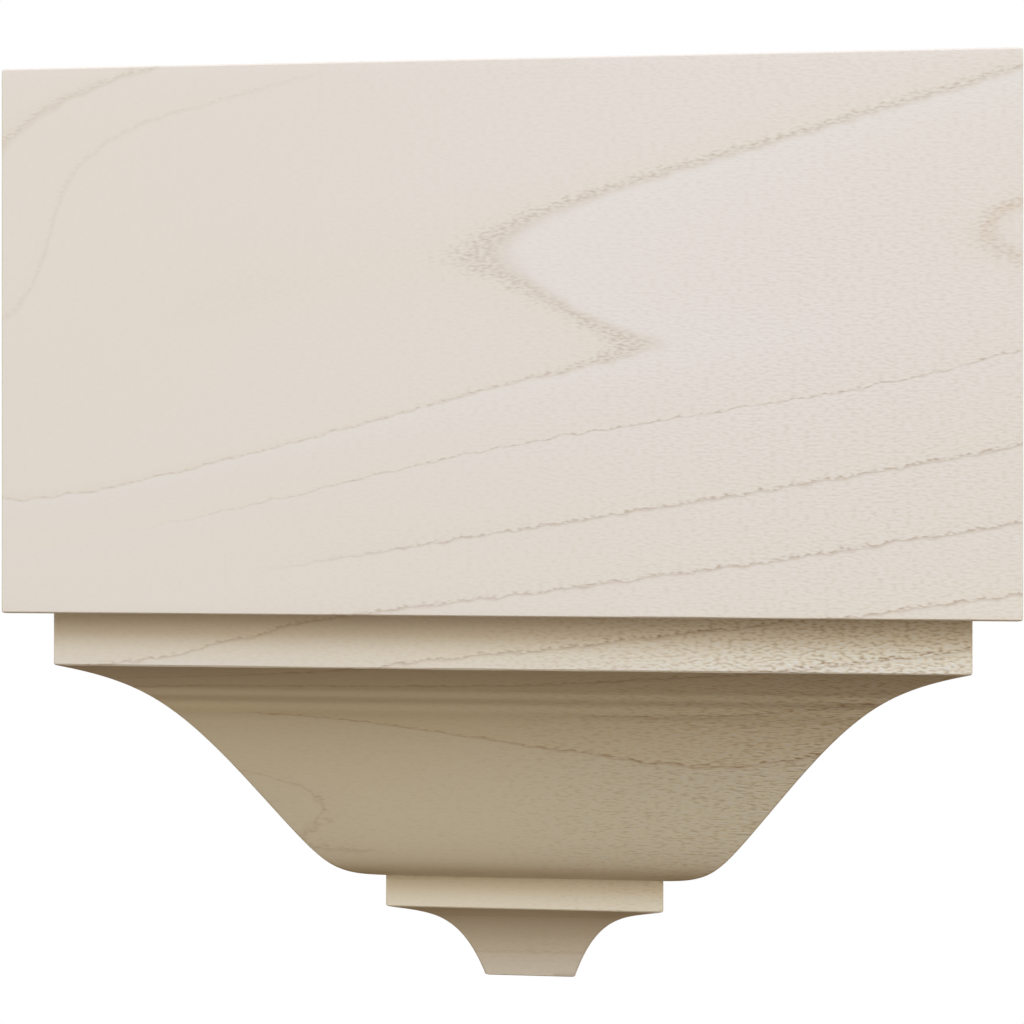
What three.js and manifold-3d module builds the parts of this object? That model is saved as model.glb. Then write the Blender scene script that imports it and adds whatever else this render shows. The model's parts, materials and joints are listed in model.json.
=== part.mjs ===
// Crown moulding corner block for an outside corner of a room: a square block with a stepped drop
// below it, one piece of maple, notched at the back so that it fits over the corner of the two walls.
// Millimetres, +Z up. The front faces -Y and the other show face +X. The origin is on the block's
// centre line, on the flat top that goes against the ceiling.

import * as THREE from "three";
import * as BufferGeometryUtils from "three/addons/utils/BufferGeometryUtils.js";
import Module from "manifold-3d";

// Driving dimensions
const blockWidth = 139.7;        // the square block, side to side and front to back
const blockHeight = 76.2;        // as deep as the crown that butts against it, and a little more
const upperFilletInset = 5.4;    // step under the block, the same on every side
const upperFilletHeight = 7.9;
const ogeeHeight = 40.3;
const lowerFilletWidth = 46.4;   // the ogee runs in to this square
const lowerFilletHeight = 5.2;
const coveHeight = 16.3;
const footWidth = 15.8;          // the flat square that the drop ends in
const wallCornerSetback = 6.35;  // from the centre line back, and left, to the corner of the walls

// How finely the curves are cut into flats
const flatsPerCurve = 26;

// The ogee is two curves that meet where it is steepest, and the cove is one. Each point is a share
// of the way in and a share of the way down, from where the member starts to where it ends.
const ogeeUpperCurve = [[0.233, 0.091], [0.329, 0.177], [0.565, 0.551]];
const ogeeLowerCurve = [[0.802, 0.926], [0.800, 0.942], [1, 1]];
const coveCurve = [[0.426, 0.177], [0.731, 0.235], [1, 1]];

// Heights of the steps, measured down from the ceiling
const blockFoot = blockHeight;
const upperFilletFoot = blockFoot + upperFilletHeight;
const ogeeFoot = upperFilletFoot + ogeeHeight;
const lowerFilletFoot = ogeeFoot + lowerFilletHeight;
const dropFoot = lowerFilletFoot + coveHeight;

const wasm = await Module();
wasm.setup();

// Adds a curve to the half outline, from where it stands to the given half width and depth.
function addCurve(outline, start, end, shares) {
  const [first, second, last] = shares.map(([across, down]) => new THREE.Vector2(
    THREE.MathUtils.lerp(start.x, end.x, across),
    THREE.MathUtils.lerp(start.y, end.y, down),
  ));
  outline.bezierCurveTo(first.x, first.y, second.x, second.y, last.x, last.y);
}

// The right half of the block's outline, from the ceiling down to the foot.
function halfOutline() {
  const upperFilletHalf = blockWidth / 2 - upperFilletInset;
  const ogeeStart = new THREE.Vector2(upperFilletHalf, -upperFilletFoot);
  const ogeeEnd = new THREE.Vector2(lowerFilletWidth / 2, -ogeeFoot);
  const coveStart = new THREE.Vector2(lowerFilletWidth / 2, -lowerFilletFoot);
  const coveEnd = new THREE.Vector2(footWidth / 2, -dropFoot);

  const outline = new THREE.Path();
  outline.moveTo(blockWidth / 2, 0);
  outline.lineTo(blockWidth / 2, -blockFoot);
  outline.lineTo(upperFilletHalf, -blockFoot);
  outline.lineTo(ogeeStart.x, ogeeStart.y);
  addCurve(outline, ogeeStart, ogeeEnd, ogeeUpperCurve);
  addCurve(outline, ogeeStart, ogeeEnd, ogeeLowerCurve);
  outline.lineTo(coveStart.x, coveStart.y);
  addCurve(outline, coveStart, coveEnd, coveCurve);
  return outline.getPoints(flatsPerCurve);
}

// The full outline as a long bar along Y, centred on the origin.
function profileBar() {
  const right = halfOutline();
  const left = right.map((point) => new THREE.Vector2(-point.x, point.y)).reverse();
  const barLength = 2 * blockWidth;
  const bar = new THREE.ExtrudeGeometry(new THREE.Shape([...right, ...left]), {
    depth: barLength,
    bevelEnabled: false,
  });
  bar.rotateX(Math.PI / 2);
  bar.translate(0, barLength / 2, 0);
  return bar;
}

// The space that the corner of the walls takes: everything behind and left of it, full height.
function wallCorner() {
  const reach = blockWidth;
  const height = 3 * dropFoot;
  const walls = new THREE.BoxGeometry(reach, reach, height);
  walls.translate(-wallCornerSetback - reach / 2, wallCornerSetback + reach / 2, 0);
  return walls;
}

// A closed geometry with shared corners, ready to be cut and joined.
function toSolid(geometry) {
  const bare = geometry.clone();
  bare.deleteAttribute("normal");
  bare.deleteAttribute("uv");
  const merged = BufferGeometryUtils.mergeVertices(bare);
  return new wasm.Manifold(new wasm.Mesh({
    numProp: 3,
    vertProperties: Float32Array.from(merged.getAttribute("position").array),
    triVerts: Uint32Array.from(merged.getIndex().array),
  }));
}

function toGeometry(solid) {
  const mesh = solid.getMesh();
  const geometry = new THREE.BufferGeometry();
  geometry.setAttribute("position", new THREE.BufferAttribute(mesh.vertProperties, 3));
  geometry.setIndex(new THREE.BufferAttribute(mesh.triVerts, 1));
  geometry.computeVertexNormals();
  return geometry;
}

// Two bars crossing at right angles leave the square block with its mitred drop.
function cornerBlock() {
  const frontToBack = profileBar();
  const sideToSide = frontToBack.clone().rotateZ(Math.PI / 2);
  const fullDrop = toSolid(frontToBack).intersect(toSolid(sideToSide));
  return toGeometry(fullDrop.subtract(toSolid(wallCorner())));
}

const maple = new THREE.MeshStandardMaterial({ color: 0xd8cdbb, roughness: 0.62, metalness: 0 });

const block = new THREE.Mesh(cornerBlock(), maple);
block.name = "corner_block";

const group = new THREE.Group();
group.add(block);

export default group;
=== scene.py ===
"""Crown moulding corner block: one piece of maple with a stepped drop, hung under a ceiling.

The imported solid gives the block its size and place. The dressed block has eased arrises, ring
figure, pores and a sanded surface, and a plain pale studio stands round it.
Metres, +Z up, the front faces -Y and the block's centre line is the Z axis.
"""

import json
import math

import bpy
from bpy.props import FloatProperty, FloatVectorProperty, PointerProperty
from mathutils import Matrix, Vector


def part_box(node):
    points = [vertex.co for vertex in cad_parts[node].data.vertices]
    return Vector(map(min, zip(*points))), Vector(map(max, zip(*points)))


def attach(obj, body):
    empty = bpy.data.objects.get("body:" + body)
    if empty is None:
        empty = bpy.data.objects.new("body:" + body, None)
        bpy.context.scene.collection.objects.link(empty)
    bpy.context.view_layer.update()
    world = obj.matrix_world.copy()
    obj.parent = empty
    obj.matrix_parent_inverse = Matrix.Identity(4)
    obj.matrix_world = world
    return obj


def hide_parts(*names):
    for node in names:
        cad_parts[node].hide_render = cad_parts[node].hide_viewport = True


bl_info = {
    "name": "Crown moulding corner block",
    "version": (1, 0, 0),
    "blender": (4, 5, 0),
    "location": "3D View > Sidebar > Corner Block",
    "description": "Makes a maple crown moulding corner block and the studio around it",
    "category": "Add Mesh",
}

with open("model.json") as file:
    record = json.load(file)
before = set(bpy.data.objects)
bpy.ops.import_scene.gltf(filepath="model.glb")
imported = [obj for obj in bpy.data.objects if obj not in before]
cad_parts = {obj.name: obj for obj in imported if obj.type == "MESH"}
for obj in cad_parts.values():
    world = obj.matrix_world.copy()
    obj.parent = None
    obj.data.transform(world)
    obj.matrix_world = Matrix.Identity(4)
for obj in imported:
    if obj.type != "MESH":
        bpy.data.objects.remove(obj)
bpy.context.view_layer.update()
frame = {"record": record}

MM = 0.001

# The block's place and overall size, from the solid
SOLID_NODE = "corner_block"
SOLID_LOW, SOLID_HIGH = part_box(SOLID_NODE)
BLOCK_WIDTH = SOLID_HIGH.x - SOLID_LOW.x
FULL_HEIGHT = SOLID_HIGH.z - SOLID_LOW.z
MOUNTS = {mount["name"]: mount for mount in frame["record"]["mounts"]}
WALL_CORNER_SETBACK = MOUNTS["front_wall_face"]["pos_m"][1]

# The ogee is two curves that meet where it is steepest, and the cove is one. Each point is a share
# of the way in and a share of the way down, from where the member starts to where it ends.
OGEE_CURVES = (
    ((0.233, 0.091), (0.329, 0.177), (0.565, 0.551)),
    ((0.802, 0.926), (0.800, 0.942), (1.0, 1.0)),
)
COVE_CURVES = (((0.426, 0.177), (0.731, 0.235), (1.0, 1.0)),)

# How finely the mesh is cut
CURVE_STEPS = 32
ARC_STEPS = 5
CAP_RINGS = 14
FOOT_RINGS = 4
# A ring whose spread is past this share stands on the outside, where the plan's arrises are
OUTER_SPREAD = 0.999
# How finely the wear of the arrises and the sanding waves vary, per metre
WEAR_FINENESS = 55.0
RIPPLE_FINENESS = 38.0
SHARP_ANGLE = math.radians(30)
WELD_DISTANCE = 0.002 * MM

# Growth of the tree, in millimetres of the block. The front shows a fold of the rings, low swellings
# turn them back on the left and at the right edge, and more lie behind the fillets and the ogee.
# Each swelling has its centre, its reach, how far it is turned about Y, and its height.
RING_RISE = 0.252
RING_FAN = 0.00172
RING_HOLLOW = 0.0000696
RING_DEPTH_HOLLOW = 0.004
RING_DEPTH_START = 6.0
FRONT_DEPTH_REACH = 90.0
SWELLINGS = (
    ((40.5, 0.0, -39.5), (43.1, FRONT_DEPTH_REACH, 7.81), 0.141, -20.41),
    ((-42.2, 0.0, -50.2), (56.9, FRONT_DEPTH_REACH, 12.06), 0.246, -33.95),
    ((-71.6, 0.0, -34.5), (21.4, FRONT_DEPTH_REACH, 18.47), -1.2, -25.47),
    ((-22.0, 0.0, -26.0), (22.0, FRONT_DEPTH_REACH, 7.0), 0.1, -1.1),
    ((71.0, 0.0, -23.0), (8.0, 20.0, 4.5), 0.0, 4.0),
    ((-57.0, 6.0, -80.0), (24.0, 5.0, 14.0), 0.0, -5.0),
    ((31.0, 28.0, -100.0), (15.0, 14.0, 9.0), 0.0, -2.4),
    ((-50.0, 24.0, -100.0), (42.0, 9.0, 40.0), 0.0, 20.0),
    ((-49.0, 31.0, -109.0), (19.0, 9.0, 6.0), 0.0, 9.0),
)

# Each ring has the growth where its late wood lies, the width of that dark line, the reach of the tan
# band before it and of the pale early wood past it, how strong the line, the band and the early wood
# are, and between which two places, counted from the centre line to the right, it comes into sight,
# or None where it shows all over.
RINGS = (
    (-11.9, 0.4, 1.5, 4.0, 0.4, 0.9, 0.0, None),
    (-4.4, 0.3, 2.0, 4.0, 0.2, 0.3, 0.0, (-20, -35)),
    (20.15, 0.5, 2.0, 6.0, 0.55, 1.0, 1.0, None),
    (43.9, 0.35, 1.8, 5.0, 0.7, 0.5, 0.5, (-52, -20)),
    (64.3, 0.22, 1.8, 3.0, 0.75, 0.6, 0.2, (-34, -10)),
    (73.4, 0.22, 2.0, 3.0, 0.75, 0.6, 0.2, None),
    (81.7, 0.22, 2.0, 3.0, 0.8, 0.6, 0.1, None),
    (88.0, 0.25, 2.0, 3.0, 0.75, 0.6, 0.0, None),
    (95.5, 0.25, 2.0, 3.0, 0.5, 0.5, 0.0, (0, 20)),
    (103.2, 0.22, 6.0, 20.0, 0.8, 1.0, 1.0, (-44, -36)),
    (122.0, 0.25, 1.6, 3.0, 0.4, 0.5, 0.0, (-20, -27)),
)
# Past the last of them the rings come at equal steps and look alike
LATER_RINGS_START = 125.0
LATER_RING_STEP = 11.0
LATER_RING_LOOK = {"Width": 0.3, "Band": 5.0, "Line Strength": 0.28, "Band Strength": 1.2}

# One more tan ring shows only about the swelling at the right edge: its growth, centre and reach
EDGE_RING = (38.0, (71.0, 0.0, -23.0), (12.0, 20.0, 7.0))
EDGE_RING_LOOK = {"Width": 1.1, "Band": 1.5, "Line Strength": 0.55, "Band Strength": 2.0}

# A thin line is nearly whole and a wide one is made of dashes: the two widths, and how much of each
# is drawn between its dashes. The dashes themselves are drawn to the last share.
LINE_WIDTHS = (0.25, 0.5)
LEAST_DRAWN = (0.3, 0.1)
MOST_DRAWN = 0.55

# Growth over which the wood turns to that of the later years and back, and the lines turn redder. The
# warmer, paler wood there lies over the drop and is partly painted warm bounce light in its shade.
LATER_WOOD_AND_BOUNCE_COMES = (78.0, 104.0)
LATER_WOOD_AND_BOUNCE_GOES = (118.0, 145.0)
LINES_REDDEN = (90.0, 100.0)

# The wood is cooler and paler about this place than elsewhere: its centre and its reach. That is partly the
# wood's own tone and partly a painted pool of light. Elsewhere it is warmer in broad patches, drawn out
# along the grain, by a share between these two, and this warmer wood away from the pool is partly painted
# shade.
PALE_HEART_AND_LIGHT_POOL = ((14.0, 0.0, -30.0), (45.0, 90.0, 28.0))
WARM_PATCHES = (0.08, 0.2)
PATCH_FINENESS = 0.05
PATCH_STRETCH = 0.25

# The most that each part of the figure colours the wood. A dark fleck colours it more on a ring line.
EARLY_WOOD_TINT = 0.3
TAN_BAND_TINT = 0.3
DARK_FLECK_TINT = (0.13, 0.3)
LIGHT_FLECK_TINT = 0.2

# Roughness of the palest and of the darkest flecks, and the sheen of bare sanded wood
ROUGHNESS = (0.52, 0.62)
SPECULAR = 0.4

# How much the vessels show on the left and on the right, and the places between which that changes.
# The sanded block has one busy patch more, given by its centre, its reach and what it adds. The
# milled drop shows them most, and less again this far below the block.
VESSELS_ON_BLOCK = (0.22, 0.75)
BLOCK_VESSEL_SPAN = (-40.0, 45.0)
VESSEL_PATCH = ((50.0, 0.0, -60.0), (50.0, 60.0, 35.0), 0.6)
VESSELS_ON_DROP = (0.4, 3.8)
DROP_VESSEL_SPAN = (-5.0, 45.0)
DROP_VESSELS_FADE = (40.0, 55.0)
DROP_VESSELS_LEFT = 0.2

# Flecks: how fine they are, how much they are drawn out along the grain on the block and below the
# upper fillet, and how deep they lie in millimetres
FLECK_FINENESS = 3.3
FLECK_STRETCH = (0.34, 0.26)
FLECK_DEPTH = 0.018
# How finely the rings waver, and how far in millimetres
WAVER_FINENESS = 0.45
WAVER_SHIFT = 0.8

# Low waves left by the moulding knife: height, reach up and down, and rise, in millimetres
KNIFE_WAVES = (
    (-88.5, 0.65, -0.1),
    (-89.75, 0.65, 0.1),
    (-90.9, 0.6, -0.04),
    (-92.2, 0.9, 0.08),
)
# How near a face of the notch a point has to be to count as sawn
SAWN_TOLERANCE = 0.1


class BlockSizes(bpy.types.PropertyGroup):
    """Sizes of the block's members and of what sanding does to them."""

    block_height: FloatProperty(
        name="Block Height", description="Height of the square block above the drop",
        default=76.2 * MM, min=10 * MM, unit="LENGTH")
    upper_fillet_inset: FloatProperty(
        name="Upper Fillet Inset", description="How far the first step stands in from the block",
        default=5.4 * MM, min=1 * MM, unit="LENGTH")
    upper_fillet_height: FloatProperty(
        name="Upper Fillet Height", description="Height of the first step",
        default=7.9 * MM, min=1 * MM, unit="LENGTH")
    ogee_height: FloatProperty(
        name="Ogee Height", description="Height of the S-shaped member",
        default=40.3 * MM, min=5 * MM, unit="LENGTH")
    lower_fillet_width: FloatProperty(
        name="Lower Fillet Width", description="Width of the square step under the ogee",
        default=46.4 * MM, min=10 * MM, unit="LENGTH")
    lower_fillet_height: FloatProperty(
        name="Lower Fillet Height", description="Height of the square step under the ogee",
        default=5.2 * MM, min=1 * MM, unit="LENGTH")
    foot_width: FloatProperty(
        name="Foot Width", description="Width of the flat square that the drop ends in",
        default=15.8 * MM, min=2 * MM, unit="LENGTH")
    arris_radius: FloatProperty(
        name="Arris Radius", description="How far the outside edges are eased with fine paper",
        default=0.32 * MM, min=0.05 * MM, unit="LENGTH")
    sawn_arris_radius: FloatProperty(
        name="Sawn Arris Radius", description="Easing of the edges left by the notch",
        default=0.16 * MM, min=0.02 * MM, unit="LENGTH")
    mesh_step: FloatProperty(
        name="Mesh Step", description="Longest stretch of flat surface without a vertex",
        default=1.7 * MM, min=0.5 * MM, unit="LENGTH")
    arris_wear: FloatProperty(
        name="Arris Wear", description="Deepest extra rounding where an edge was handled",
        default=0.1 * MM, min=0.0, unit="LENGTH")
    sanding_ripple: FloatProperty(
        name="Sanding Ripple", description="Depth of the slow waves that sanding leaves",
        default=0.02 * MM, min=0.0, unit="LENGTH")


class MapleLook(bpy.types.PropertyGroup):
    """Colours of the wood."""

    pale_wood: FloatVectorProperty(
        name="Pale Wood", description="Colour between the rings", subtype="COLOR",
        default=(0.745, 0.648, 0.542), min=0.0, max=1.0)
    warm_wood: FloatVectorProperty(
        name="Warm Wood", description="Colour of the tan bands beside the rings", subtype="COLOR",
        default=(0.695, 0.582, 0.42), min=0.0, max=1.0)
    ring_brown: FloatVectorProperty(
        name="Ring Brown", description="Colour of the thin late wood lines", subtype="COLOR",
        default=(0.36, 0.24, 0.15), min=0.0, max=1.0)
    # Partly the later years' wood and partly painted warm bounce light in the shade of the drop
    later_wood_and_painted_bounce: FloatVectorProperty(
        name="Later Wood and Bounce", description="Warmer colour of the later years, low on the block",
        subtype="COLOR", default=(0.82, 0.708, 0.515), min=0.0, max=1.0)
    later_ring: FloatVectorProperty(
        name="Later Ring", description="Redder colour of the last late wood lines", subtype="COLOR",
        default=(0.42, 0.22, 0.12), min=0.0, max=1.0)
    early_wood: FloatVectorProperty(
        name="Early Wood", description="Cooler, paler colour just past a ring", subtype="COLOR",
        default=(0.765, 0.705, 0.635), min=0.0, max=1.0)
    pore_brown: FloatVectorProperty(
        name="Pore Brown", description="Colour of the short vessel flecks", subtype="COLOR",
        default=(0.45, 0.335, 0.235), min=0.0, max=1.0)


class StudioLook(bpy.types.PropertyGroup):
    """Light and floor."""

    key_power: FloatProperty(
        name="Key Power", description="Power of the window light above the front", default=26.4,
        min=0.0, unit="POWER")
    fill_power: FloatProperty(
        name="Fill Power", description="Power of the softer light under the window light",
        default=5.4, min=0.0, unit="POWER")
    sky_power: FloatProperty(
        name="Sky Power", description="Power of the blue light that comes in above the window light",
        default=14.5, min=0.0, unit="POWER")
    room_strength: FloatProperty(
        name="Room Strength", description="Brightness of the pale room all round", default=1.05,
        min=0.0)
    floor_drop: FloatProperty(
        name="Floor Drop", description="How far the floor lies below the ceiling face", default=1.3,
        min=0.3, unit="LENGTH")


# Node helpers

def place(tree, kind, inputs=None, **choices):
    """Adds a node with its choices set, and gives its inputs values or other nodes' outputs."""
    node = tree.nodes.new(kind)
    for name, value in choices.items():
        setattr(node, name, value)
    for key, value in (inputs or {}).items():
        if isinstance(value, bpy.types.NodeSocket):
            tree.links.new(value, node.inputs[key])
        else:
            node.inputs[key].default_value = value
    return node


def number(tree, operation, *values):
    """A sum on single numbers."""
    return place(tree, "ShaderNodeMath", dict(enumerate(values)), operation=operation).outputs[0]


def vector(tree, operation, *values):
    """A sum on vectors. Scale takes its factor as the second value."""
    if operation == "SCALE":
        inputs = {0: values[0], 3: values[1]}
    else:
        inputs = dict(enumerate(values))
    node = place(tree, "ShaderNodeVectorMath", inputs, operation=operation)
    scalar = operation in ("LENGTH", "DOT_PRODUCT", "DISTANCE")
    return node.outputs[1 if scalar else 0]


def remap(tree, value, from_low, from_high, to_low, to_high):
    """A number moved from one range to another and kept inside it."""
    inputs = {0: value, 1: from_low, 2: from_high, 3: to_low, 4: to_high}
    return place(tree, "ShaderNodeMapRange", inputs).outputs[0]


def noise(tree, where, scale, detail, roughness=0.5):
    """A noise texture's value, about 0 to 1."""
    inputs = {"Vector": where, "Scale": scale, "Detail": detail, "Roughness": roughness}
    return place(tree, "ShaderNodeTexNoise", inputs).outputs[0]


def blend_colour(tree, share, first, second):
    """The first colour turned towards the second by a share."""
    inputs = {0: share, 6: first, 7: second}
    return place(tree, "ShaderNodeMix", inputs, data_type="RGBA").outputs[2]


def new_group(name, kind, takes, gives):
    """An empty node group with named inputs, as name, socket kind and default, and named outputs."""
    group = bpy.data.node_groups.new(name, kind)
    for socket_name, socket_kind, default in takes:
        socket = group.interface.new_socket(socket_name, in_out="INPUT", socket_type=socket_kind)
        if default is not None:
            socket.default_value = default
    for socket_name, socket_kind in gives:
        group.interface.new_socket(socket_name, in_out="OUTPUT", socket_type=socket_kind)
    return group, group.nodes.new("NodeGroupInput").outputs, group.nodes.new("NodeGroupOutput")


def use_group(tree, group, inputs):
    """A node group placed in a shader tree, with its inputs by name. Gives the group's outputs."""
    node = tree.nodes.new("ShaderNodeGroup")
    node.node_tree = group
    for key, value in inputs.items():
        if isinstance(value, bpy.types.NodeSocket):
            tree.links.new(value, node.inputs[key])
        else:
            node.inputs[key].default_value = value
    return node.outputs


# The section of the drop and the plan that it is carried round

def member(start, end, curves):
    """Points down a curved member, without the one that it starts from."""
    points = []
    corner = start
    for shares in curves:
        handles = [corner]
        for across, down in shares:
            handles.append(Vector((
                start.x + (end.x - start.x) * across,
                start.y + (end.y - start.y) * down,
            )))
        for step in range(1, CURVE_STEPS + 1):
            t = step / CURVE_STEPS
            weights = ((1 - t) ** 3, 3 * (1 - t) ** 2 * t, 3 * (1 - t) * t ** 2, t ** 3)
            point = Vector((0.0, 0.0))
            for handle, weight in zip(handles, weights):
                point += handle * weight
            points.append(point)
        corner = handles[-1]
    return points


def half_outline(sizes):
    """Half width and height from the middle of the top to the middle of the foot, and the arrises."""
    half = BLOCK_WIDTH / 2
    fillet = half - sizes.upper_fillet_inset
    block_foot = -sizes.block_height
    fillet_foot = block_foot - sizes.upper_fillet_height
    ogee_foot = fillet_foot - sizes.ogee_height
    lower_fillet_foot = ogee_foot - sizes.lower_fillet_height
    points = [
        Vector((0.0, 0.0)),
        Vector((half, 0.0)),
        Vector((half, block_foot)),
        Vector((fillet, block_foot)),
        Vector((fillet, fillet_foot)),
    ]
    arrises = {1, 2, 4}
    points += member(points[-1], Vector((sizes.lower_fillet_width / 2, ogee_foot)), OGEE_CURVES)
    points.append(Vector((sizes.lower_fillet_width / 2, lower_fillet_foot)))
    arrises.add(len(points) - 1)
    points += member(points[-1], Vector((sizes.foot_width / 2, -FULL_HEIGHT)), COVE_CURVES)
    arrises.add(len(points) - 1)
    points.append(Vector((0.0, -FULL_HEIGHT)))
    return points, arrises


def arc(before, corner, after, radius):
    """Points round a corner eased to a radius, each with how much it belongs to the arris."""
    towards = (before - corner).normalized()
    away = (after - corner).normalized()
    half_angle = towards.angle(away) / 2
    centre = corner + (towards + away).normalized() * (radius / math.sin(half_angle))
    trim = radius / math.tan(half_angle)
    first = (corner + towards * trim - centre).normalized()
    last = (corner + away * trim - centre).normalized()
    points = []
    for step in range(ARC_STEPS + 1):
        share = step / ARC_STEPS
        points.append((centre + first.slerp(last, share) * radius, math.sin(math.pi * share)))
    return points


def cut_finer(points, longest):
    """The same line with its long straight stretches cut up."""
    finer = [points[0]]
    for (start, _), (end, mask) in zip(points, points[1:]):
        pieces = max(1, math.ceil((end - start).length / longest))
        for piece in range(1, pieces):
            finer.append((start.lerp(end, piece / pieces), 0.0))
        finer.append((end, mask))
    return finer


def section_rings(sizes):
    """Every ring of the mesh: its half width, how far out it stands (0 to 1), height and arris."""
    points, arrises = half_outline(sizes)
    eased = []
    for index in range(1, len(points) - 1):
        if index in arrises:
            eased += arc(points[index - 1], points[index], points[index + 1], sizes.arris_radius)
        else:
            eased.append((points[index], 0.0))
    walls = cut_finer(eased, sizes.mesh_step)
    top, foot = walls[0][0], walls[-1][0]
    rings = [(top.x, ring / CAP_RINGS, top.y, 0.0) for ring in range(CAP_RINGS)]
    rings += [(point.x, 1.0, point.y, mask) for point, mask in walls]
    rings += [(foot.x, 1 - ring / FOOT_RINGS, foot.y, 0.0) for ring in range(1, FOOT_RINGS + 1)]
    return rings


def plan_points(sizes):
    """Points round the L-shaped plan, anticlockwise from above, closed on its first point.

    A point stands at its reach times the half width, plus its offset.
    """
    back = WALL_CORNER_SETBACK
    corners = (
        (Vector((-1, -1)), Vector((0, 0)), sizes.arris_radius),
        (Vector((1, -1)), Vector((0, 0)), sizes.arris_radius),
        (Vector((1, 1)), Vector((0, 0)), sizes.arris_radius),
        (Vector((0, 1)), Vector((-back, 0)), sizes.sawn_arris_radius),
        (Vector((0, 0)), Vector((-back, back)), 0.0),
        (Vector((-1, 0)), Vector((0, back)), sizes.sawn_arris_radius),
    )
    half = BLOCK_WIDTH / 2
    places = [reach * half + offset for reach, offset, _ in corners]
    bends = []
    for index, (reach, offset, radius) in enumerate(corners):
        corner = places[index]
        if radius == 0.0:
            bends.append([(reach, offset, 0.0)])
            continue
        turned = arc(places[index - 1], corner, places[(index + 1) % len(corners)], radius)
        bends.append([(reach, offset + point - corner, mask) for point, mask in turned])
    points = []
    for index, bend in enumerate(bends):
        points += bend
        reach, offset, _ = bend[-1]
        next_reach, next_offset, _ = bends[(index + 1) % len(bends)][0]
        span = (next_reach - reach) * half + next_offset - offset
        pieces = math.ceil(span.length / sizes.mesh_step)
        for piece in range(1, pieces):
            share = piece / pieces
            points.append((reach.lerp(next_reach, share), offset.lerp(next_offset, share), 0.0))
    points.append(points[0])
    return points


def rule_object(name, places, arris, reach=None):
    """A bare row of points that the geometry nodes read."""
    mesh = bpy.data.meshes.new(name)
    mesh.from_pydata(places, [], [])
    mesh.attributes.new("arris", "FLOAT", "POINT").data.foreach_set("value", arris)
    if reach is not None:
        flat = [value for point in reach for value in (point.x, point.y, 0.0)]
        mesh.attributes.new("reach", "FLOAT_VECTOR", "POINT").data.foreach_set("vector", flat)
    rule = bpy.data.objects.new(name, mesh)
    bpy.context.scene.collection.objects.link(rule)
    return rule


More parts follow.
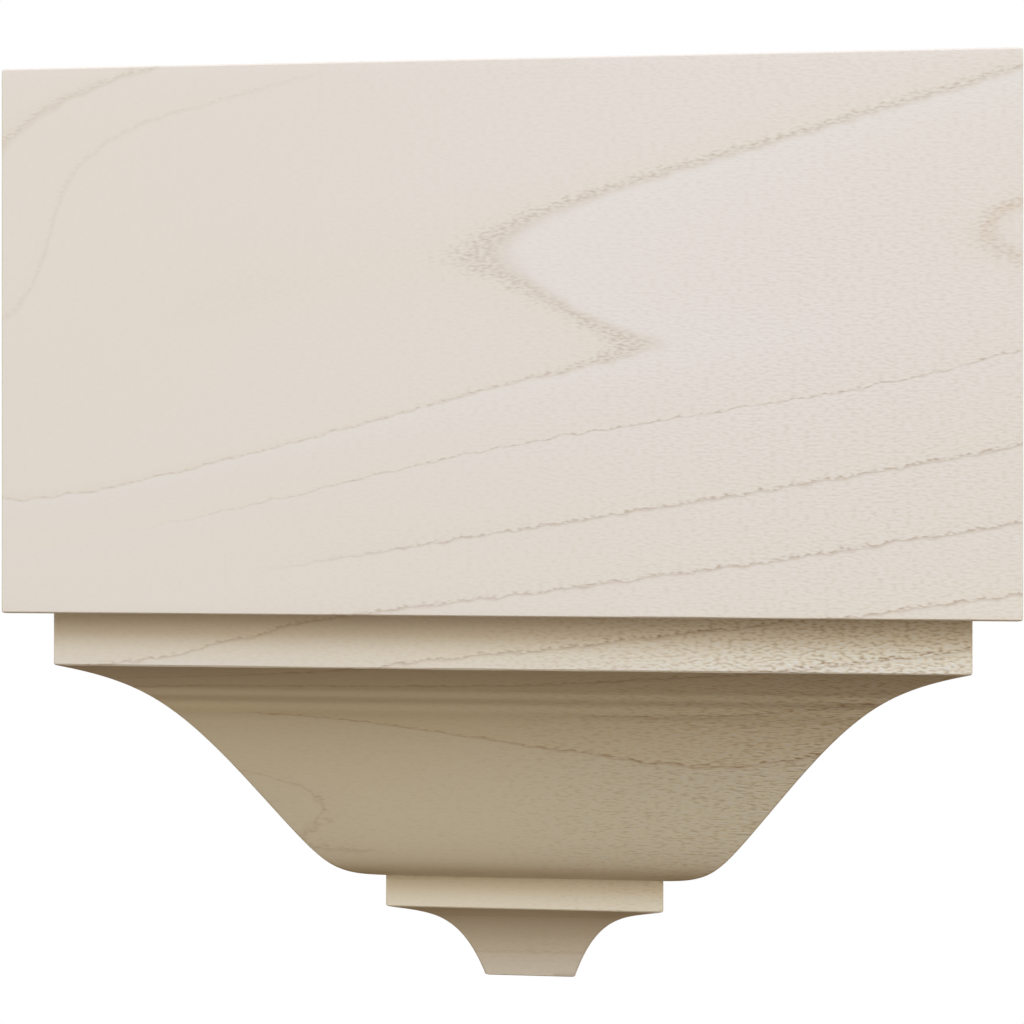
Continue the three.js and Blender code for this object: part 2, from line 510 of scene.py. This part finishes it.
def sweep_tree():
    """Geometry nodes that carry the section round the plan, weld it shut and soften it."""
    tree, given, result = new_group(
        "Moulding Round a Plan", "GeometryNodeTree",
        takes=(
            ("Section", "NodeSocketObject", None),
            ("Plan", "NodeSocketObject", None),
            ("Arris Wear", "NodeSocketFloat", 0.0),
            ("Sanding Ripple", "NodeSocketFloat", 0.0),
            ("Maple", "NodeSocketMaterial", None),
        ),
        gives=(("Geometry", "NodeSocketGeometry"),))
    tree.is_modifier = True

    def read(name, kind="FLOAT"):
        return place(tree, "GeometryNodeInputNamedAttribute", {"Name": name}, data_type=kind).outputs[0]

    def sample(source, value, index, kind="FLOAT"):
        return place(tree, "GeometryNodeSampleIndex", {"Geometry": source, "Value": value, "Index": index},
                     data_type=kind, domain="POINT").outputs[0]

    section = place(tree, "GeometryNodeObjectInfo", {"Object": given["Section"]}).outputs["Geometry"]
    plan = place(tree, "GeometryNodeObjectInfo", {"Object": given["Plan"]}).outputs["Geometry"]
    rings = place(tree, "GeometryNodeAttributeDomainSize", {"Geometry": section}).outputs["Point Count"]
    stops = place(tree, "GeometryNodeAttributeDomainSize", {"Geometry": plan}).outputs["Point Count"]
    grid = place(tree, "GeometryNodeMeshGrid", {"Vertices X": rings, "Vertices Y": stops}).outputs["Mesh"]
    index = tree.nodes.new("GeometryNodeInputIndex").outputs[0]
    position = tree.nodes.new("GeometryNodeInputPosition").outputs[0]
    ring = number(tree, "FLOOR", number(tree, "DIVIDE", index, stops))
    stop = number(tree, "MODULO", index, stops)

    ring_values = sample(section, position, ring, "FLOAT_VECTOR")
    half_width, spread, height = place(tree, "ShaderNodeSeparateXYZ", {0: ring_values}).outputs
    offset = sample(plan, position, stop, "FLOAT_VECTOR")
    reach = sample(plan, read("reach", "FLOAT_VECTOR"), stop, "FLOAT_VECTOR")
    flat = vector(tree, "ADD", vector(tree, "SCALE", reach, half_width), offset)
    standing = place(tree, "ShaderNodeCombineXYZ", {2: height}).outputs[0]
    where = vector(tree, "ADD", vector(tree, "SCALE", flat, spread), standing)
    swept = place(tree, "GeometryNodeSetPosition", {"Geometry": grid, "Position": where}).outputs[0]

    plan_arris = number(tree, "MULTIPLY", sample(plan, read("arris"), stop),
                        number(tree, "GREATER_THAN", spread, OUTER_SPREAD))
    arris = number(tree, "MAXIMUM", sample(section, read("arris"), ring), plan_arris)
    marked = place(tree, "GeometryNodeStoreNamedAttribute",
                   {"Geometry": swept, "Name": "arris", "Value": arris},
                   data_type="FLOAT", domain="POINT").outputs[0]
    welded = place(tree, "GeometryNodeMergeByDistance",
                   {"Geometry": marked, "Distance": WELD_DISTANCE}).outputs[0]

    wear = number(tree, "MULTIPLY", given["Arris Wear"], read("arris"))
    wear = number(tree, "MULTIPLY", wear, noise(tree, position, WEAR_FINENESS, 3.0))
    ripple = number(tree, "MULTIPLY", given["Sanding Ripple"], noise(tree, position, RIPPLE_FINENESS, 1.0))
    inward = number(tree, "MULTIPLY", number(tree, "ADD", wear, ripple), -1.0)
    normal = tree.nodes.new("GeometryNodeInputNormal").outputs[0]
    sanded = place(tree, "GeometryNodeSetPosition",
                   {"Geometry": welded, "Offset": vector(tree, "SCALE", normal, inward)}).outputs[0]

    smooth = place(tree, "GeometryNodeSetShadeSmooth", {"Geometry": sanded}, domain="FACE").outputs[0]
    fold = tree.nodes.new("GeometryNodeInputMeshEdgeAngle").outputs[0]
    crisp = number(tree, "GREATER_THAN", fold, SHARP_ANGLE)
    smooth = place(tree, "GeometryNodeSetShadeSmooth",
                   {"Geometry": smooth, "Selection": crisp, "Shade Smooth": False},
                   domain="EDGE").outputs[0]
    real = place(tree, "GeometryNodeRealizeInstances", {"Geometry": smooth}).outputs[0]
    finished = place(tree, "GeometryNodeSetMaterial",
                     {"Geometry": real, "Material": given["Maple"]}).outputs[0]
    tree.links.new(finished, result.inputs[0])
    return tree


# Maple

def swelling_group():
    """A smooth mound or hollow about a centre."""
    group, given, result = new_group(
        "Swelling", "ShaderNodeTree",
        takes=(
            ("Place", "NodeSocketVector", None),
            ("Centre", "NodeSocketVector", (0.0, 0.0, 0.0)),
            ("Reach", "NodeSocketVector", (1.0, 1.0, 1.0)),
            ("Turn", "NodeSocketFloat", 0.0),
            ("Height", "NodeSocketFloat", 1.0),
        ),
        gives=(("Swelling", "NodeSocketFloat"),))
    away = vector(group, "SUBTRACT", given["Place"], given["Centre"])
    turned = place(group, "ShaderNodeVectorRotate", {"Vector": away, "Angle": given["Turn"]},
                   rotation_type="Y_AXIS").outputs[0]
    shares = vector(group, "DIVIDE", turned, given["Reach"])
    fall = number(group, "MULTIPLY", vector(group, "DOT_PRODUCT", shares, shares), -1.0)
    mound = number(group, "MULTIPLY", number(group, "EXPONENT", fall), given["Height"])
    group.links.new(mound, result.inputs[0])
    return group


def growth_group(swelling):
    """How far the tree had grown at each point, in millimetres of the block's height."""
    group, given, result = new_group(
        "Tree Growth", "ShaderNodeTree",
        takes=(("Place", "NodeSocketVector", None),),
        gives=(("Growth", "NodeSocketFloat"),))
    x, depth, z = place(group, "ShaderNodeSeparateXYZ", {0: given["Place"]}).outputs
    growth = number(group, "MULTIPLY_ADD", x, RING_RISE, number(group, "MULTIPLY", z, -1.0))
    growth = number(group, "MULTIPLY_ADD", number(group, "MULTIPLY", x, z), RING_FAN, growth)
    growth = number(group, "MULTIPLY_ADD", number(group, "MULTIPLY", x, x), RING_HOLLOW, growth)
    behind = number(group, "SUBTRACT", depth, RING_DEPTH_START)
    growth = number(group, "MULTIPLY_ADD", number(group, "MULTIPLY", behind, behind),
                    RING_DEPTH_HOLLOW, growth)
    growth = number(group, "SUBTRACT", growth, RING_DEPTH_HOLLOW * RING_DEPTH_START ** 2)
    for centre, reach, turn, height in SWELLINGS:
        mound = use_group(group, swelling, {
            "Place": given["Place"], "Centre": centre, "Reach": reach, "Turn": turn, "Height": height})[0]
        growth = number(group, "ADD", growth, mound)
    group.links.new(growth, result.inputs[0])
    return group


def vessel_strength_group(swelling):
    """How much the vessels show: little on the left, more on the right and on the milled drop."""
    group, given, result = new_group(
        "Vessel Strength", "ShaderNodeTree",
        takes=(
            ("Place", "NodeSocketVector", None),
            ("Block Foot", "NodeSocketFloat", 0.0),
        ),
        gives=(("Strength", "NodeSocketFloat"),))
    x, _, z = place(group, "ShaderNodeSeparateXYZ", {0: given["Place"]}).outputs
    centre, reach, height = VESSEL_PATCH
    patch = use_group(group, swelling, {
        "Place": given["Place"], "Centre": centre, "Reach": reach, "Height": height})[0]
    strength = number(group, "ADD", remap(group, x, *BLOCK_VESSEL_SPAN, *VESSELS_ON_BLOCK), patch)
    below = number(group, "SUBTRACT", given["Block Foot"], z)
    milled = number(group, "MULTIPLY", remap(group, below, 0.0, 0.5, 0.0, 1.0),
                    remap(group, below, *DROP_VESSELS_FADE, 1.0, DROP_VESSELS_LEFT))
    milled = number(group, "MULTIPLY", milled,
                    remap(group, x, *DROP_VESSEL_SPAN, *VESSELS_ON_DROP))
    group.links.new(number(group, "ADD", strength, milled), result.inputs[0])
    return group


def least_drawn(width):
    """How much of a line of this width is drawn between its dashes."""
    thin, wide = LINE_WIDTHS
    share = min(max((width - thin) / (wide - thin), 0.0), 1.0)
    return LEAST_DRAWN[0] + (LEAST_DRAWN[1] - LEAST_DRAWN[0]) * share


def ring_group():
    """One year's late wood: a thin line, a tan band before it and paler, cooler early wood past it."""
    group, given, result = new_group(
        "Late Wood Ring", "ShaderNodeTree",
        takes=(
            ("Growth", "NodeSocketFloat", 0.0),
            ("Level", "NodeSocketFloat", 0.0),
            ("Width", "NodeSocketFloat", 0.3),
            ("Dashes", "NodeSocketFloat", 0.5),
            ("Least Drawn", "NodeSocketFloat", 0.1),
            ("Band", "NodeSocketFloat", 2.0),
            ("Early", "NodeSocketFloat", 4.0),
            ("Line Strength", "NodeSocketFloat", 1.0),
            ("Band Strength", "NodeSocketFloat", 1.0),
            ("Early Strength", "NodeSocketFloat", 1.0),
            ("Shown", "NodeSocketFloat", 1.0),
        ),
        gives=(("Line", "NodeSocketFloat"), ("Band", "NodeSocketFloat"), ("Early", "NodeSocketFloat")))
    past = number(group, "SUBTRACT", given["Growth"], given["Level"])
    share = number(group, "DIVIDE", past, given["Width"])
    fall = number(group, "MULTIPLY", number(group, "MULTIPLY", share, share), -1.0)
    bell = number(group, "EXPONENT", fall)
    drawn = remap(group, given["Dashes"], 0.35, 0.65, given["Least Drawn"], MOST_DRAWN)
    line = number(group, "MULTIPLY", number(group, "MULTIPLY", bell, drawn), given["Line Strength"])
    group.links.new(number(group, "MULTIPLY", line, given["Shown"]), result.inputs[0])
    before = number(group, "DIVIDE", number(group, "MINIMUM", past, 0.0), given["Band"])
    band = number(group, "EXPONENT", before)
    cut = remap(group, share, 0.0, 1.4, 1.0, 0.0)
    band = number(group, "MULTIPLY", number(group, "MULTIPLY", band, cut), given["Band Strength"])
    group.links.new(number(group, "MULTIPLY", band, given["Shown"]), result.inputs[1])
    after = number(group, "DIVIDE", number(group, "MAXIMUM", past, 0.0), given["Early"])
    early = number(group, "EXPONENT", number(group, "MULTIPLY", after, -1.0))
    early = number(group, "MULTIPLY", early, number(group, "SUBTRACT", 1.0, cut))
    group.links.new(number(group, "MULTIPLY", early, given["Early Strength"]), result.inputs[2])
    return group


def fleck_group():
    """Short dashes along the grain, where the knife opened the vessels, drawn out more on the ogee."""
    group, given, result = new_group(
        "Vessel Flecks", "ShaderNodeTree",
        takes=(
            ("Place", "NodeSocketVector", None),
            ("Fineness", "NodeSocketFloat", 1.0),
            ("Ogee Top", "NodeSocketFloat", 0.0),
        ),
        gives=(("Dashes", "NodeSocketFloat"), ("Dark", "NodeSocketFloat"), ("Light", "NodeSocketFloat")))
    z = place(group, "ShaderNodeSeparateXYZ", {0: given["Place"]}).outputs[2]
    below = number(group, "SUBTRACT", given["Ogee Top"], z)
    stretch = remap(group, below, 0.0, 0.2, *FLECK_STRETCH)
    along = place(group, "ShaderNodeCombineXYZ", {0: stretch, 1: 1.0, 2: 1.0}).outputs[0]
    dashes = noise(group, vector(group, "MULTIPLY", given["Place"], along), given["Fineness"], 0.6, 0.6)
    group.links.new(dashes, result.inputs[0])
    group.links.new(remap(group, dashes, 0.5, 0.7, 0.0, 1.0), result.inputs[1])
    group.links.new(remap(group, dashes, 0.5, 0.3, 0.0, 1.0), result.inputs[2])
    return group


def knife_wave_group():
    """Low waves that run round the top of the ogee, where the moulding knife was set again.

    The sawn faces of the notch have none.
    """
    group, given, result = new_group(
        "Knife Waves", "ShaderNodeTree",
        takes=(("Place", "NodeSocketVector", None),),
        gives=(("Relief", "NodeSocketFloat"),))
    x, depth, z = place(group, "ShaderNodeSeparateXYZ", {0: given["Place"]}).outputs
    relief = 0.0
    for height, reach, rise in KNIFE_WAVES:
        share = number(group, "DIVIDE", number(group, "SUBTRACT", z, height), reach)
        fall = number(group, "MULTIPLY", number(group, "MULTIPLY", share, share), -1.0)
        relief = number(group, "MULTIPLY_ADD", number(group, "EXPONENT", fall), rise, relief)
    left = number(group, "LESS_THAN", x, SAWN_TOLERANCE - WALL_CORNER_SETBACK / MM)
    behind = number(group, "GREATER_THAN", depth, (WALL_CORNER_SETBACK - SOLID_LOW.y) / MM - SAWN_TOLERANCE)
    milled = number(group, "SUBTRACT", 1.0, number(group, "MULTIPLY", left, behind))
    relief = number(group, "MULTIPLY", relief, milled)
    group.links.new(relief, result.inputs[0])
    return group


def maple_material(look, sizes):
    """Bare sanded maple. The grain runs along X, so the side faces show end grain."""
    material = bpy.data.materials.new("maple")
    material.use_nodes = True
    tree = material.node_tree
    shader = tree.nodes["Principled BSDF"]

    local = tree.nodes.new("ShaderNodeTexCoord").outputs["Object"]
    from_front = vector(tree, "SUBTRACT", local, (0.0, SOLID_LOW.y, 0.0))
    spot = vector(tree, "SCALE", from_front, 1 / MM)
    across = place(tree, "ShaderNodeSeparateXYZ", {0: spot}).outputs[0]
    swirl = place(tree, "ShaderNodeTexNoise",
                  {"Vector": spot, "Scale": WAVER_FINENESS, "Detail": 0.0}).outputs[1]
    waver = vector(tree, "SUBTRACT", swirl, (0.5, 0.5, 0.5))

    swelling = swelling_group()
    block_foot = -sizes.block_height / MM
    flecks = use_group(tree, fleck_group(), {
        "Place": spot, "Fineness": FLECK_FINENESS,
        "Ogee Top": block_foot - sizes.upper_fillet_height / MM})
    busy = use_group(tree, vessel_strength_group(swelling), {"Place": spot, "Block Foot": block_foot})[0]
    bent = vector(tree, "ADD", spot, vector(tree, "SCALE", waver, WAVER_SHIFT))
    growth = use_group(tree, growth_group(swelling), {"Place": bent})[0]
    ragged = number(tree, "SUBTRACT", flecks["Dashes"], 0.5)
    growth = number(tree, "ADD", growth, ragged)

    later = number(tree, "WRAP", growth, LATER_RINGS_START + LATER_RING_STEP, LATER_RINGS_START)
    is_later = number(tree, "GREATER_THAN", growth, LATER_RINGS_START)
    ring = ring_group()
    later_year = use_group(tree, ring, {
        **LATER_RING_LOOK,
        "Growth": later, "Level": LATER_RINGS_START + LATER_RING_STEP / 2,
        "Least Drawn": least_drawn(LATER_RING_LOOK["Width"]),
        "Dashes": flecks["Dashes"], "Early Strength": 0.0, "Shown": is_later})
    level, centre, reach = EDGE_RING
    edge = use_group(tree, swelling, {"Place": spot, "Centre": centre, "Reach": reach})[0]
    edge_year = use_group(tree, ring, {
        **EDGE_RING_LOOK,
        "Growth": growth, "Level": level, "Least Drawn": least_drawn(EDGE_RING_LOOK["Width"]),
        "Dashes": flecks["Dashes"], "Early Strength": 0.0, "Shown": edge})
    line = number(tree, "MAXIMUM", later_year["Line"], edge_year["Line"])
    band = number(tree, "MAXIMUM", later_year["Band"], edge_year["Band"])
    early = later_year["Early"]
    for level, width, tan, pale_reach, dark, tan_share, pale_share, comes in RINGS:
        year = use_group(tree, ring, {
            "Growth": growth, "Level": level, "Width": width, "Dashes": flecks["Dashes"],
            "Band": tan, "Early": pale_reach,
            "Line Strength": dark, "Band Strength": tan_share, "Early Strength": pale_share,
            "Least Drawn": least_drawn(width),
            "Shown": remap(tree, across, *comes, 0.0, 1.0) if comes else 1.0})
        line = number(tree, "MAXIMUM", line, year["Line"])
        band = number(tree, "MAXIMUM", band, year["Band"])
        early = number(tree, "MAXIMUM", early, year["Early"])

    drawn_out = vector(tree, "MULTIPLY", spot, (PATCH_STRETCH, 1.0, 1.0))
    # Painted light: the paler, cooler middle is partly the wood's tone and partly a painted pool of light,
    # and the warmer wood round it is partly painted shade
    centre, reach = PALE_HEART_AND_LIGHT_POOL
    heart_and_light_pool = use_group(tree, swelling, {"Place": spot, "Centre": centre, "Reach": reach})[0]
    patches = noise(tree, drawn_out, PATCH_FINENESS, 0.0)
    warmth_and_painted_shade = remap(tree, patches, 0.3, 0.7, *WARM_PATCHES)
    warmth_and_painted_shade = number(tree, "MULTIPLY", warmth_and_painted_shade, number(tree, "SUBTRACT", 1.0, heart_and_light_pool))
    pale = (*look.pale_wood, 1.0)
    warm = (*look.warm_wood, 1.0)
    colour = blend_colour(tree, warmth_and_painted_shade, pale, warm)
    # Painted light: the warmer, paler wood over the drop is partly the later years' wood and partly painted
    # warm bounce light in its shade
    later_wood_and_bounce_share = number(tree, "MULTIPLY", remap(tree, growth, *LATER_WOOD_AND_BOUNCE_COMES, 0.0, 1.0),
                         remap(tree, growth, *LATER_WOOD_AND_BOUNCE_GOES, 1.0, 0.0))
    colour = blend_colour(tree, later_wood_and_bounce_share, colour, (*look.later_wood_and_painted_bounce, 1.0))
    early_wood = (*look.early_wood, 1.0)
    colour = blend_colour(tree, number(tree, "MULTIPLY", early, EARLY_WOOD_TINT), colour, early_wood)
    colour = blend_colour(tree, number(tree, "MULTIPLY", band, TAN_BAND_TINT), colour, warm)
    opened = number(tree, "MULTIPLY", busy, remap(tree, line, 0.0, 0.4, *DARK_FLECK_TINT))
    colour = blend_colour(tree, number(tree, "MULTIPLY", flecks["Dark"], opened), colour,
                          (*look.pore_brown, 1.0))
    shining = number(tree, "MULTIPLY", busy, LIGHT_FLECK_TINT)
    colour = blend_colour(tree, number(tree, "MULTIPLY", flecks["Light"], shining), colour, early_wood)
    redder = number(tree, "MAXIMUM", remap(tree, growth, *LINES_REDDEN, 0.0, 1.0), edge)
    ring_colour = blend_colour(tree, redder, (*look.ring_brown, 1.0), (*look.later_ring, 1.0))
    colour = blend_colour(tree, line, colour, ring_colour)
    tree.links.new(colour, shader.inputs["Base Color"])

    rough = remap(tree, flecks["Dashes"], 0.3, 0.7, *ROUGHNESS)
    tree.links.new(rough, shader.inputs["Roughness"])
    shader.inputs["Specular IOR Level"].default_value = SPECULAR

    knife = use_group(tree, knife_wave_group(), {"Place": spot})[0]
    grain = number(tree, "MULTIPLY", number(tree, "MULTIPLY", flecks["Dashes"], busy), -FLECK_DEPTH)
    height = number(tree, "ADD", grain, knife)
    bump = place(tree, "ShaderNodeBump", {"Strength": 1.0, "Distance": MM, "Height": height})
    tree.links.new(bump.outputs[0], shader.inputs["Normal"])
    return material


# The block

def socket_identifier(tree, name):
    """The identifier of a tree's input, which a modifier's value is set by."""
    for item in tree.interface.items_tree:
        if item.item_type == "SOCKET" and item.in_out == "INPUT" and item.name == name:
            return item.identifier
    raise KeyError(name)


def swept_block(sizes, maple):
    """The plain mesh of the block, made by the geometry nodes with its flats kept flat."""
    rings = section_rings(sizes)
    section = rule_object(
        "section_rule",
        [(half_width, spread, height) for half_width, spread, height, _ in rings],
        [mask for *_, mask in rings])
    stops = plan_points(sizes)
    plan = rule_object(
        "plan_rule",
        [(offset.x, offset.y, 0.0) for _, offset, _ in stops],
        [mask for *_, mask in stops],
        reach=[reach for reach, *_ in stops])

    blank = bpy.data.objects.new("blank", bpy.data.meshes.new("blank"))
    bpy.context.scene.collection.objects.link(blank)
    tree = sweep_tree()
    sweep = blank.modifiers.new("Sweep", "NODES")
    sweep.node_group = tree
    values = {
        "Section": section,
        "Plan": plan,
        "Arris Wear": sizes.arris_wear,
        "Sanding Ripple": sizes.sanding_ripple,
        "Maple": maple,
    }
    for name, value in values.items():
        sweep[socket_identifier(tree, name)] = value
    flats = blank.modifiers.new("Flats", "WEIGHTED_NORMAL")
    flats.keep_sharp = True

    depsgraph = bpy.context.evaluated_depsgraph_get()
    mesh = bpy.data.meshes.new_from_object(
        blank.evaluated_get(depsgraph), preserve_all_data_layers=True, depsgraph=depsgraph)
    for scaffold in (blank, section, plan):
        bpy.data.objects.remove(scaffold)
    return mesh


class CORNERBLOCK_OT_make_block(bpy.types.Operator):
    """Makes the maple block and hangs it in the solid's place"""

    bl_idname = "corner_block.make_block"
    bl_label = "Make Maple Block"

    def execute(self, context):
        sizes = context.scene.corner_block_sizes
        maple = maple_material(context.scene.corner_block_maple, sizes)
        mesh = swept_block(sizes, maple)
        mesh.name = "maple_block"
        block = bpy.data.objects.new("maple_block", mesh)
        context.scene.collection.objects.link(block)
        if not mesh.materials:
            raise RuntimeError("the block has no maple on it")
        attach(block, "root")
        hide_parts(SOLID_NODE)
        return {"FINISHED"}


# The studio

# The camera stands close in front, a little right of the centre line and turned a little to its left
CAMERA_RIGHT = 18.8 * MM
CAMERA_AWAY = 206.6 * MM
CAMERA_BELOW_TOP = 54.9 * MM
CAMERA_TURN = math.radians(4.68)
LENS = 53.58
SENSOR = 36.0
FRAME_SHIFT = -0.0498

DAYLIGHT = (0.56, 0.75, 1.0)
SKY = (0.15, 0.30, 1.0)
PALE_ROOM = (1.0, 0.955, 0.80)
FLOOR_WOOD = (0.155, 0.110, 0.070)
CEILING_SHARE = 0.4
FLOOR_HALF_WIDTH = 8.0
LIGHT_AWAY = 2.2
LIGHT_TURN = 12
AIM = Vector((0.0, SOLID_LOW.y, -60 * MM))


def soft_light(name, power, rise, width, height, colour):
    """An area light in front, a little to the right, raised by degrees and aimed at the block."""
    data = bpy.data.lights.new(name, "AREA")
    data.shape = "RECTANGLE"
    data.size = width
    data.size_y = height
    data.energy = power
    data.color = colour
    turn, rise = math.radians(LIGHT_TURN), math.radians(rise)
    out = Vector((math.sin(turn) * math.cos(rise), -math.cos(turn) * math.cos(rise), math.sin(rise)))
    light = bpy.data.objects.new(name, data)
    light.location = AIM + out * LIGHT_AWAY
    light.rotation_euler = (-out).to_track_quat("-Z", "Y").to_euler()
    light.visible_camera = False
    bpy.context.scene.collection.objects.link(light)


def room_world(strength):
    """A pale room with a dimmer ceiling, behind a white background."""
    world = bpy.data.worlds.new("room")
    world.use_nodes = True
    tree = world.node_tree
    tree.nodes.clear()
    seen = tree.nodes.new("ShaderNodeLightPath").outputs["Is Camera Ray"]
    incoming = tree.nodes.new("ShaderNodeNewGeometry").outputs["Incoming"]
    down = place(tree, "ShaderNodeSeparateXYZ", {0: incoming}).outputs[2]
    walls = remap(tree, down, -0.8, -1.0, strength, CEILING_SHARE * strength)
    room = place(tree, "ShaderNodeBackground", {"Color": (*PALE_ROOM, 1.0), "Strength": walls})
    white = place(tree, "ShaderNodeBackground", {"Color": (1.0, 1.0, 1.0, 1.0), "Strength": 1.0})
    both = place(tree, "ShaderNodeMixShader", {0: seen, 1: room.outputs[0], 2: white.outputs[0]})
    output = tree.nodes.new("ShaderNodeOutputWorld")
    tree.links.new(both.outputs[0], output.inputs["Surface"])
    return world


def floor_material():
    """Brown wooden floor out of the picture, which the camera sees as white as the background."""
    material = bpy.data.materials.new("floor_wood")
    material.use_nodes = True
    tree = material.node_tree
    tree.nodes.clear()
    seen = tree.nodes.new("ShaderNodeLightPath").outputs["Is Camera Ray"]
    matt = place(tree, "ShaderNodeBsdfDiffuse", {"Color": (*FLOOR_WOOD, 1.0)})
    white = place(tree, "ShaderNodeEmission", {"Color": (1.0, 1.0, 1.0, 1.0), "Strength": 1.0})
    both = place(tree, "ShaderNodeMixShader", {0: seen, 1: matt.outputs[0], 2: white.outputs[0]})
    output = tree.nodes.new("ShaderNodeOutputMaterial")
    tree.links.new(both.outputs[0], output.inputs["Surface"])
    # The white is only for the camera, so the floor isn't sampled as a lamp
    material.cycles.emission_sampling = "NONE"
    return material


def studio_floor(drop):
    """A wide floor well below the hanging block."""
    half = FLOOR_HALF_WIDTH
    mesh = bpy.data.meshes.new("floor")
    corners = [(-half, -half, -drop), (half, -half, -drop), (half, half, -drop), (-half, half, -drop)]
    mesh.from_pydata(corners, [], [(0, 1, 2, 3)])
    mesh.materials.append(floor_material())
    floor = bpy.data.objects.new("floor", mesh)
    bpy.context.scene.collection.objects.link(floor)


def front_camera():
    """The camera at the photograph's viewing angle."""
    data = bpy.data.cameras.new("camera")
    data.lens = LENS
    data.sensor_width = SENSOR
    data.shift_y = FRAME_SHIFT
    data.clip_start = 10 * MM
    camera = bpy.data.objects.new("camera", data)
    camera.location = (CAMERA_RIGHT, SOLID_LOW.y - CAMERA_AWAY, -CAMERA_BELOW_TOP)
    camera.rotation_euler = (math.pi / 2, 0.0, CAMERA_TURN)
    bpy.context.scene.collection.objects.link(camera)
    bpy.context.scene.camera = camera


class CORNERBLOCK_OT_make_studio(bpy.types.Operator):
    """Makes the floor, the light and the camera"""

    bl_idname = "corner_block.make_studio"
    bl_label = "Make Studio"

    def execute(self, context):
        look = context.scene.corner_block_studio
        scene = context.scene
        scene.view_settings.view_transform = "Standard"
        scene.world = room_world(look.room_strength)
        studio_floor(look.floor_drop)
        soft_light("window", look.key_power, rise=40, width=1.6, height=0.62, colour=DAYLIGHT)
        soft_light("sky", look.sky_power, rise=54, width=1.6, height=0.46, colour=SKY)
        soft_light("fill", look.fill_power, rise=24, width=1.6, height=0.62, colour=(1.0, 1.0, 1.0))
        front_camera()
        return {"FINISHED"}


class CORNERBLOCK_PT_panel(bpy.types.Panel):
    """Lists the block, its wood and its studio"""

    bl_idname = "CORNERBLOCK_PT_panel"
    bl_label = "Corner Block"
    bl_space_type = "VIEW_3D"
    bl_region_type = "UI"
    bl_category = "Corner Block"

    def draw(self, context):
        layout = self.layout
        for title, values in (
            ("Sizes", context.scene.corner_block_sizes),
            ("Maple", context.scene.corner_block_maple),
            ("Studio", context.scene.corner_block_studio),
        ):
            box = layout.box()
            box.label(text=title)
            for name in values.__annotations__:
                box.prop(values, name)
        layout.operator(CORNERBLOCK_OT_make_block.bl_idname)
        layout.operator(CORNERBLOCK_OT_make_studio.bl_idname)


CLASSES = (
    BlockSizes,
    MapleLook,
    StudioLook,
    CORNERBLOCK_OT_make_block,
    CORNERBLOCK_OT_make_studio,
    CORNERBLOCK_PT_panel,
)


def register():
    for made in CLASSES:
        bpy.utils.register_class(made)
    bpy.types.Scene.corner_block_sizes = PointerProperty(type=BlockSizes)
    bpy.types.Scene.corner_block_maple = PointerProperty(type=MapleLook)
    bpy.types.Scene.corner_block_studio = PointerProperty(type=StudioLook)


def unregister():
    del bpy.types.Scene.corner_block_studio
    del bpy.types.Scene.corner_block_maple
    del bpy.types.Scene.corner_block_sizes
    for made in reversed(CLASSES):
        bpy.utils.unregister_class(made)


def main():
    register()
    bpy.ops.corner_block.make_block()
    bpy.ops.corner_block.make_studio()


if __name__ == "__main__":
    main()
